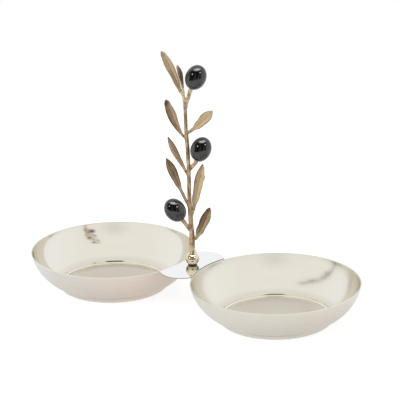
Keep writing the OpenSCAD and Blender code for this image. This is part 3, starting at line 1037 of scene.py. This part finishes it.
def leaf_side(i, t, side):
    """How much wider or narrower one side of a blade is."""
    wave = EDGE_WAVE * math.sin(9 * t + 2.1 * i + side)
    if i == WAVY_LEAF and side < 0:
        wave += WAVY_DEPTH * math.sin(26 * (t - 0.42)) * max(0, 1 - abs(t - 0.72) / 0.3)
    return 1 + wave


def leaf_width(u, base, blunt):
    """Width of a blade along its length, as a share of its usual greatest width."""
    share = lookup(u, LEAF_OUTLINE)
    share += swell(u, BASE_GAIN * base, *BASE_PLACE)
    share += swell(u, BLUNT_GAIN * blunt, *BLUNT_PLACE)
    rounding = max(0, (u - TIP_FROM) / TIP_L) ** 2 * mix(*TIP_ROUND, blunt)
    return share * math.sqrt(max(TIP_LEAST, 1 - rounding))


def make_leaf(i):
    turn, stub_lean, low_lean, lean, roll = LEAF_ANGLES[i]
    place, stub, long_share, wide_share, petiole = LEAF_SHARES[i]
    base, blunt, tone, slope, tip_shade = LEAF_LOOKS[i]
    length = LEAF_L * long_share
    width = LEAF_W * wide_share
    start = stem_mid(place) + aim(turn, stub_lean) * (STUB_L * stub + FIT)
    bent = start + aim(turn, low_lean) * length * LEAF_BEND
    tip = start + aim(turn, lean) * length
    sideways = aim(turn + 90, 90)
    rolled = math.radians(roll)
    rings = []
    painted_leaf_lights = []
    grains = []
    for k in range(LEAF_RINGS + 1):
        t = math.sin(k / LEAF_RINGS * math.pi / 2)
        u = max(0, (t - petiole) / (1 - petiole))
        stalky = lookup(u, PETIOLE_BLEND)
        blade = 1 - stalky
        middle = mix(mix(start, bent, t), mix(bent, tip, t), t)
        along = unit(mix(bent - start, tip - bent, t))
        along = unit(mix(aim(turn, stub_lean), along, min(1, LEAF_SETTLE * t)))
        across = math.cos(rolled) * np.cross(sideways, along) + math.sin(rolled) * sideways
        face = np.cross(along, across)
        petiole_r = PETIOLE_D / 2 * stalky * (1 + BASE_SWELL * base)
        half_w = width / 2 * leaf_width(u, base, blunt) + petiole_r
        fold = LEAF_FOLD * blade
        mid_t = mix(LEAF_T, PETIOLE_D, stalky)
        edge_t = mix(LEAF_EDGE_T, PETIOLE_D, stalky)
        power = mix(*SECTION_POWERS, stalky)
        tip_dark = max(0, (t - TIP_DARK_FROM) / TIP_DARK_L)
        top = []
        under = []
        for c in ACROSS:
            out = abs(c)
            x = c * half_w * leaf_side(i, t, 1 if c > 0 else -1)
            rise = fold * half_w * (math.sqrt(c * c + FOLD_SOFT) - FOLD_DROP)
            thick = mix(mid_t, edge_t, out) * math.sqrt(max(0, 1 - out ** power))
            rib = math.exp(-(c / RIB_W) ** 2) * blade * (1 - RIB_FADE * t)
            phase = (t * length - abs(x) * VEIN_SLANT) / VEIN_STEP
            vein = max(0, math.cos(2 * math.pi * phase)) ** VEIN_POWER * blade
            vein *= min(1, out * 4) * (1 - out ** 4)
            high = rise + thick / 2 - rib * RIB_DEPTH - vein * VEIN_DEPTH
            deep = rise - thick / 2 - rib * RIB_DEPTH * RIB_BACK - vein * VEIN_DEPTH
            # Painted shade in the groove, the veins and along the edges, darker at the tip, and painted
            # light by leaf and by side
            dark = RIB_DARK * rib + VEIN_DARK * vein + EDGE_DARK * out ** EDGE_POWER * blade
            dark += tip_shade * tip_dark
            bright = mix(tone, PETIOLE_TONE, stalky) - slope * c * blade - dark
            top.append((middle + across * x + face * high, bright, (c, t)))
            under.append((middle + across * x + face * deep, bright, (c, t)))
        loop = top + under[-2:0:-1]
        rings.append([p for p, _, _ in loop])
        painted_leaf_lights += [r for _, r, _ in loop]
        grains += [g for _, _, g in loop]
    mesh = leaf_mesh("leaf_%d_cast" % (i + 1), rings, painted_leaf_lights, grains)
    mesh.transform(BRANCH)
    add_piece(mesh, LEAF, "leaf_%d" % (i + 1))


def leaf_mesh(name, rings, painted_leaf_lights, grains):
    """Leaf skin with its painted light and shade and its grain stored for the material."""
    mesh = new_mesh(name, *skin(rings))
    paint(mesh, "painted_leaf_light", painted_leaf_lights + [painted_leaf_lights[0], painted_leaf_lights[-1]])
    grains = grains + [grains[0], grains[-1]]
    layer = mesh.uv_layers.new(name="grain")
    for loop in mesh.loops:
        layer.data[loop.index].uv = grains[loop.vertex_index]
    face_outwards(mesh)
    return mesh


for leaf_number in range(len(LEAF_SHARES)):
    make_leaf(leaf_number)


# Olives and their stalks

OLIVE_SEAT = OLIVE_L / 2 * math.sqrt(1 - CAP_D ** 2 / OLIVE_D ** 2)
# Stalks: girths at foot and top and their unevenness, girths of the cap and its flare, and brightness
STALK_SWELL = (1.2, 1.55)
STALK_UNEVEN = 0.05
CAP_SWELL = (1.5, 1.1)
CAP_FLARE = 1.6
STALK_LIGHTNESS = 0.12
# Hollow in an olive where its cap sits
DIMPLE_DEPTH = 0.5 * MM
DIMPLE_R = 0.42 * CAP_D


def stalk_ends(i):
    """Where a stalk leaves its stub, where its cap starts and where its olive's middle is."""
    turn, lean, olive_lean = OLIVE_ANGLES[i]
    place, stub, share = OLIVE_SHARES[i]
    foot = stem_mid(place) + aim(turn, lean) * (STUB_L * stub + FIT)
    top = foot + aim(turn, lean) * STALK_L * share
    middle = top + aim(turn, olive_lean) * (CAP_H + FIT + OLIVE_SEAT)
    return foot, top, middle


def make_stalk(i):
    turn, lean, olive_lean = OLIVE_ANGLES[i]
    foot, top, _ = stalk_ends(i)
    cap = top + aim(turn, olive_lean) * CAP_H
    top_r = STALK_D / 2 * STALK_TAPER
    steps = np.linspace(0, 1, 14)
    line = [mix(foot, top, t) for t in steps]
    swells = [mix(*STALK_SWELL, t) * (1 + STALK_UNEVEN * math.sin(7 * t + i)) for t in steps]
    girths = [mix(STALK_D / 2, top_r, t) * s for t, s in zip(steps, swells)]
    parts = [tube("stalk", line, girths, 20)]
    steps = np.linspace(0, 1, 6)
    cap_line = [mix(top - aim(turn, lean) * top_r, cap, t) for t in steps]
    cap_girths = [mix(CAP_SWELL[0] * top_r, CAP_SWELL[1] * CAP_D / 2, t ** CAP_FLARE) for t in steps]
    parts.append(tube("cap", cap_line, cap_girths, 24))
    mesh = cast("stalk_%d_cast" % (i + 1), parts, *STALK_CAST)
    paint(mesh, "lightness_and_shade", [STALK_LIGHTNESS] * len(mesh.vertices))
    add_piece(mesh, BRONZE, "olive_stalk_%d" % (i + 1))


def make_olive(i):
    turn, _, olive_lean = OLIVE_ANGLES[i]
    _, _, middle = stalk_ends(i)
    profile = []
    for a in np.radians(np.linspace(-90, 90, 73)):
        r = OLIVE_D / 2 * math.cos(a)
        z = OLIVE_L / 2 * math.sin(a)
        dimple = swell(r, DIMPLE_DEPTH, 0, DIMPLE_R) if a < 0 else 0
        profile.append((r, z + dimple))
    mesh = lathe("olive_%d_glazed" % (i + 1), profile, (0, 0), ROUND_SEGMENTS)
    mesh.transform(Matrix.Rotation(math.radians(olive_lean), 4, "Y"))
    mesh.transform(Matrix.Rotation(math.radians(turn), 4, "Z"))
    mesh.transform(Matrix.Translation(middle))
    mesh.transform(BRANCH)
    add_piece(mesh, ENAMEL, "olive_%d" % (i + 1))


for olive_number in range(len(OLIVE_SHARES)):
    make_stalk(olive_number)
    make_olive(olive_number)


# Floor, light and camera

# Floor: half width, tone, glow for all rays that show it, and more for the camera
FLOOR_HALF = 0.45
FLOOR_TONE = 0.35
FLOOR_LIFT = 0.6
FLOOR_EXTRA = 0.22
# Room: strength of its light on matt surfaces, and tones
ROOM_LIGHT = 0.75
ROOM_TONE = (1, 1, 1)
LIT_SIDE = (2.2, 2.2, 2.2)
SHADED_SIDE = (0.3, 0.3, 0.3)
DARK_FRONT = (0.02, 0.02, 0.02)
UPRIGHT = Vector((0, 0, 1))
VIEW_AHEAD = VIEW_BACK * math.cos(VIEW_RISE) - UPRIGHT * math.sin(VIEW_RISE)
VIEW_UP = VIEW_BACK * math.sin(VIEW_RISE) + UPRIGHT * math.cos(VIEW_RISE)
LIGHT_SIDE = (UPRIGHT * 0.5 - VIEW_RIGHT).normalized()
# Places in reflections are those on a ball that faces the camera: across and up, as shares of its radius
# Dark front of the room, in sharp reflections only: middle, half size, soft edge, raggedness and its scale
FRONT_MID = (-0.1, 0.07)
FRONT_HALF = (0.53, 0.38)
FRONT_SOFT = (0.08, 0.08)
FRONT_RAGGED = 0.3
FRONT_RAGGED_SCALE = 7
# Paler stripes in it: places across, half width and soft edge, strength, and heights over which they end
STRIPES = (-0.13, 0.22)
STRIPE_HALF = 0.03
STRIPE_STRENGTH = 0.7
STRIPE_END = (-0.1, 0.2)
# Lamps at the front: middle, half size and strength, and where their edges fade
LAMPS = ((0.02, 0.47, 0.38, 0.15, 6), (-0.40, 0.14, 0.05, 0.05, 10), (0.32, 0.17, 0.05, 0.05, 12))
LAMP_FADE = (0.2, 1.2)
# Dark place near the camera in soft reflections: middle, half size, soft edge and strength, first as it is
# seen after one reflection, then after more
NEAR_ONCE = ((0, 0), (0.12, 0.14), (0.09, 0.1))
NEAR_ONCE_DIM = 0.15
NEAR_AGAIN = ((0, 0.11), (0.15, 0.09), (0.03, 0.03))
NEAR_AGAIN_DIM = 1
# Ray Depth is below this where the room is seen after one reflection
ONE_REFLECTION = 2.5


def seen_rays(s):
    """One for the rays that show the backdrop itself: from the camera, off metal and through glass."""
    rays = s.node("ShaderNodeLightPath").outputs
    shown = rays["Is Camera Ray"]
    for name in ("Is Glossy Ray", "Is Transmission Ray"):
        shown = s.math("MAXIMUM", shown, rays[name])
    return shown, rays


def make_floor():
    corners = ((-1, -1), (1, -1), (1, 1), (-1, 1))
    mesh = new_mesh("floor", [(x * FLOOR_HALF, y * FLOOR_HALF, 0) for x, y in corners], [(0, 1, 2, 3)])
    floor = bpy.data.objects.new("floor", mesh)
    scene.collection.objects.link(floor)
    s = Shader("pale_floor")
    s.set(base_color=(FLOOR_TONE, FLOOR_TONE, FLOOR_TONE), roughness=1, specular_ior_level=0)
    s.set(emission_color=(1, 1, 1))
    shown, rays = seen_rays(s)
    extra = s.math("MULTIPLY", rays["Is Camera Ray"], FLOOR_EXTRA)
    s.feed(emission_strength=s.math("ADD", s.math("MULTIPLY", shown, FLOOR_LIFT), extra))
    mesh.materials.append(s.material)


def inside_soft(s, value, middle, half, soft):
    """One within half of middle, falling to nothing over a soft edge."""
    away = s.math("ABSOLUTE", s.math("SUBTRACT", value, middle), 0)
    return s.ranged(away, half - soft, half + soft, 1, 0)


def patch(s, across, height, middle, half, soft):
    """One inside a rectangle with soft edges; its sizes are pairs, across and up."""
    wide = inside_soft(s, across, middle[0], half[0], soft[0])
    tall = inside_soft(s, height, middle[1], half[1], soft[1])
    return s.math("MULTIPLY", wide, tall)


def soft_room(s, across, height, once):
    """The room in soft reflections, with a dark place near the camera."""
    near = s.ranged(once, 0, 1, 0, NEAR_ONCE_DIM)
    near = s.math("MULTIPLY", patch(s, across, height, *NEAR_ONCE), near)
    again = s.ranged(once, 0, 1, NEAR_AGAIN_DIM, 0)
    again = s.math("MULTIPLY", patch(s, across, height, *NEAR_AGAIN), again)
    return s.blend(s.math("MAXIMUM", near, again), ROOM_TONE, DARK_FRONT)


def sharp_room(s, facing, across, height, once):
    """The room in perfectly sharp reflections: a ragged dark front with paler stripes and lamps."""
    ragged = s.math("SUBTRACT", s.noise(facing, FRONT_RAGGED_SCALE), 0.5)
    ragged = s.math("MULTIPLY", ragged, FRONT_RAGGED)
    ragged_across = s.math("ADD", across, ragged)
    ragged_height = s.math("ADD", height, ragged)
    front = patch(s, ragged_across, ragged_height, FRONT_MID, FRONT_HALF, FRONT_SOFT)
    for stripe in STRIPES:
        streak = inside_soft(s, across, stripe, STRIPE_HALF, STRIPE_HALF)
        low = s.ranged(height, *STRIPE_END, STRIPE_STRENGTH, 0)
        front = s.math("SUBTRACT", front, s.math("MULTIPLY", streak, low))
    front = s.math("MULTIPLY", s.math("MAXIMUM", front, 0), once)
    sharp = s.blend(front, ROOM_TONE, DARK_FRONT)
    for x, y, half_x, half_y, strength in LAMPS:
        off_x = s.math("DIVIDE", s.math("SUBTRACT", across, x), half_x)
        off_y = s.math("DIVIDE", s.math("SUBTRACT", height, y), half_y)
        away = s.math("ADD", s.math("MULTIPLY", off_x, off_x), s.math("MULTIPLY", off_y, off_y))
        lit = s.math("MULTIPLY", s.ranged(away, *LAMP_FADE, 1, 0), once)
        sharp = s.blend(lit, sharp, (strength, strength, strength))
    return sharp


def make_world():
    """White room, lit from the left; only reflections show its dark places and lamps."""
    world = bpy.data.worlds.new("studio")
    scene.world = world
    world.use_nodes = True
    world.cycles.sampling_method = "NONE"
    s = Nodes(world.node_tree)
    sky = s.tree.nodes["Background"]
    direction = s.coordinates("Generated")
    side = s.vector("DOT_PRODUCT", direction, LIGHT_SIDE)
    facing = s.vector("NORMALIZE", s.vector("ADD", direction, -VIEW_AHEAD), (0, 0, 0))
    across = s.vector("DOT_PRODUCT", facing, VIEW_RIGHT)
    height = s.vector("DOT_PRODUCT", facing, VIEW_UP)
    shown, rays = seen_rays(s)
    once = s.math("LESS_THAN", rays["Ray Depth"], ONE_REFLECTION)
    room = soft_room(s, across, height, once)
    sharp = sharp_room(s, facing, across, height, once)
    matt = s.blend(s.ranged(side, -1, 1), SHADED_SIDE, LIT_SIDE)
    colour = s.blend(rays["Is Singular Ray"], room, sharp)
    colour = s.blend(rays["Is Diffuse Ray"], colour, matt)
    colour = s.blend(rays["Is Camera Ray"], colour, (1, 1, 1))
    s.link(colour, sky.inputs["Color"])
    s.link(s.ranged(shown, 0, 1, ROOM_LIGHT, 1), sky.inputs["Strength"])


def make_camera():
    x_axis = VIEW_RIGHT * math.cos(VIEW_ROLL) - VIEW_UP * math.sin(VIEW_ROLL)
    y_axis = VIEW_RIGHT * math.sin(VIEW_ROLL) + VIEW_UP * math.cos(VIEW_ROLL)
    turn = Matrix((x_axis, y_axis, -VIEW_AHEAD)).transposed().to_4x4()
    lens = bpy.data.cameras.new("view")
    lens.lens = VIEW_LENS
    lens.sensor_width = SENSOR_W
    camera = bpy.data.objects.new("view", lens)
    camera.matrix_world = Matrix.Translation(VIEW_FROM) @ turn
    scene.collection.objects.link(camera)
    scene.camera = camera


make_floor()
make_world()
make_camera()
